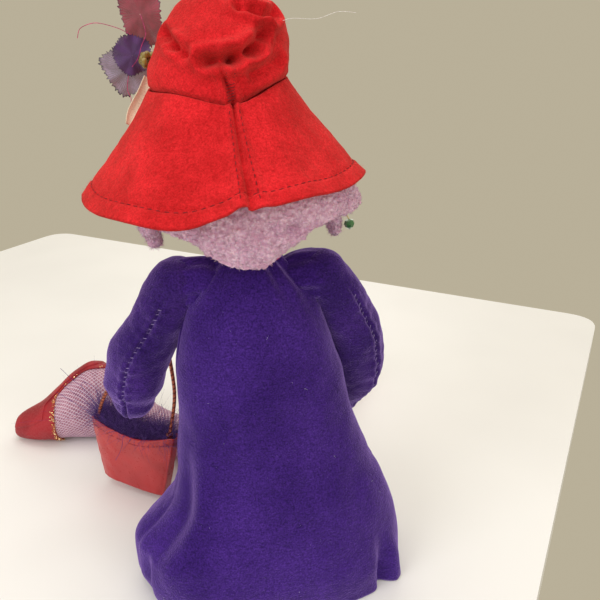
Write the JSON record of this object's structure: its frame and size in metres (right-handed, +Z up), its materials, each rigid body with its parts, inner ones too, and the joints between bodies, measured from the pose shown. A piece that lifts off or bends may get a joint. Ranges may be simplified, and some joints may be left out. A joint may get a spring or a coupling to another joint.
{
  "type": "hand puppet",
  "caption": "Plush lady glove puppet with felt hat, fleece hair, velour dress, stuffed arms and legs, pumps and a small purse on a braided strap",
  "frame": {"origin": "centre of the dress's open base, on the surface it stands on", "axes": "+Z up, the puppet faces -Y, her left side is +X"},
  "size_m": [0.2943, 0.2853, 0.3172],
  "materials": {
    "purple_velour": "short-pile velour, satiny nap",
    "cotton_lining": "plain cotton",
    "fibre_stuffing": "loose polyester wadding",
    "tube_card": "rolled card tube",
    "skin_cloth": "smooth stretched jersey",
    "lips_red": "embroidered satin thread",
    "eye_bead": "glossy bead",
    "hair_fleece": "looped boucle fleece",
    "green_gem": "faceted gem",
    "red_felt": "needled felt",
    "purple_organza": "sheer organza, singed edge",
    "lavender_organza": "sheer organza, singed edge",
    "olive_bead": "small beads",
    "cream_ribbon": "satin ribbon",
    "fishnet_stocking": "knit net over pink jersey",
    "shoe_red": "soft leatherette",
    "gold_glitter": "glitter glue",
    "purse_red": "glossy vinyl",
    "marabou": "dyed down feather",
    "copper_braid": "twisted metallic cord",
    "thread": "sewing thread"
  },
  "bodies": {
    "root": {"dress_front_panel": "purple_velour", "dress_back_panel": "purple_velour", "dress_hem": "purple_velour", "hand_lining": "cotton_lining", "left_leg_tab": "cotton_lining", "right_leg_tab": "cotton_lining"},
    "neck": {"neck_binding": "purple_velour"},
    "head": {"finger_tube": "tube_card", "head_face": "skin_cloth", "head_back": "skin_cloth", "head_stuffing": "fibre_stuffing", "nose": "skin_cloth", "left_eye": "eye_bead", "right_eye": "eye_bead", "lips": "lips_red", "hair_cap": "hair_fleece", "left_front_lock": "hair_fleece", "right_front_lock": "hair_fleece", "left_earring": "green_gem", "right_earring": "green_gem", "hat_brim": "red_felt", "hat_crown": "red_felt", "hat_tip": "red_felt", "hat_back_seam": "red_felt", "flower_center": "olive_bead", "flower_upper_petal": "purple_organza", "flower_lower_petal": "lavender_organza", "flower_inner_petal": "purple_organza", "hat_leaf": "cream_ribbon"},
    "left_shoulder": {"left_armhole_ring": "cotton_lining"},
    "left_arm": {"left_arm_sleeve": "purple_velour", "left_finger_stall": "cotton_lining", "left_arm_stuffing": "fibre_stuffing", "strap_tack": "thread"},
    "right_shoulder": {"right_armhole_ring": "cotton_lining"},
    "right_arm": {"right_arm_sleeve": "purple_velour", "right_finger_stall": "cotton_lining", "right_arm_stuffing": "fibre_stuffing"},
    "left_thigh": {"left_thigh": "fishnet_stocking"},
    "right_thigh": {"right_thigh": "fishnet_stocking"},
    "purse": {"purse_front": "purse_red", "purse_back": "purse_red", "purse_gusset": "purse_red", "marabou_trim": "marabou", "purse_strap": "copper_braid", "strap_left_tab": "copper_braid", "strap_right_tab": "copper_braid"},
    "left_lower_leg": {"left_shin": "fishnet_stocking", "left_foot": "fishnet_stocking", "left_shoe_upper": "shoe_red", "left_shoe_sole": "shoe_red", "left_shoe_trim": "gold_glitter"},
    "right_lower_leg": {"right_shin": "fishnet_stocking", "right_foot": "fishnet_stocking", "right_shoe_upper": "shoe_red", "right_shoe_sole": "shoe_red", "right_shoe_trim": "gold_glitter"}
  },
  "joints": [
    {"name": "head_turn", "type": "hinge", "parent": "root", "child": "neck", "pos_m": [0.01, -0.002, 0.194], "axis": [0, 0, 1], "range_deg": [-20, 20]},
    {"name": "head_nod", "type": "hinge", "parent": "neck", "child": "head", "pos_m": [0.01, -0.002, 0.194], "axis": [1, 0, 0], "range_deg": [-10, 10]},
    {"name": "left_arm_swing", "type": "hinge", "parent": "root", "child": "left_shoulder", "pos_m": [0.046, -0.009, 0.178], "axis": [-1, 0, 0], "range_deg": [-5, 7]},
    {"name": "left_arm_raise", "type": "hinge", "parent": "left_shoulder", "child": "left_arm", "pos_m": [0.046, -0.009, 0.178], "axis": [0, -1, 0], "range_deg": [0, 30]},
    {"name": "right_arm_swing", "type": "hinge", "parent": "root", "child": "right_shoulder", "pos_m": [-0.027, 0.001, 0.183], "axis": [-1, 0, 0], "range_deg": [-2, 30]},
    {"name": "right_arm_raise", "type": "hinge", "parent": "right_shoulder", "child": "right_arm", "pos_m": [-0.027, 0.001, 0.183], "axis": [0, 1, 0], "range_deg": [0, 25]},
    {"name": "left_hip_lift", "type": "hinge", "parent": "root", "child": "left_thigh", "pos_m": [0.02, -0.059, 0.015], "axis": [-1, 0, 0], "range_deg": [-60, 8]},
    {"name": "left_knee_bend", "type": "hinge", "parent": "left_thigh", "child": "left_lower_leg", "pos_m": [0.042, -0.12, 0.015], "axis": [0.7849, 0.6196, 0], "range_deg": [0, 70]},
    {"name": "right_hip_lift", "type": "hinge", "parent": "root", "child": "right_thigh", "pos_m": [-0.02, -0.059, 0.015], "axis": [-1, 0, 0], "range_deg": [-60, 45]},
    {"name": "right_knee_bend", "type": "hinge", "parent": "right_thigh", "child": "right_lower_leg", "pos_m": [-0.038, -0.118, 0.015], "axis": [0.9962, -0.0866, 0], "range_deg": [-15, 70]},
    {"name": "purse_swing", "type": "hinge", "parent": "left_arm", "child": "purse", "pos_m": [0.0595, -0.035, 0.134], "axis": [-0.6202, -0.7844, 0], "range_deg": [-3, 8]}
  ]
}
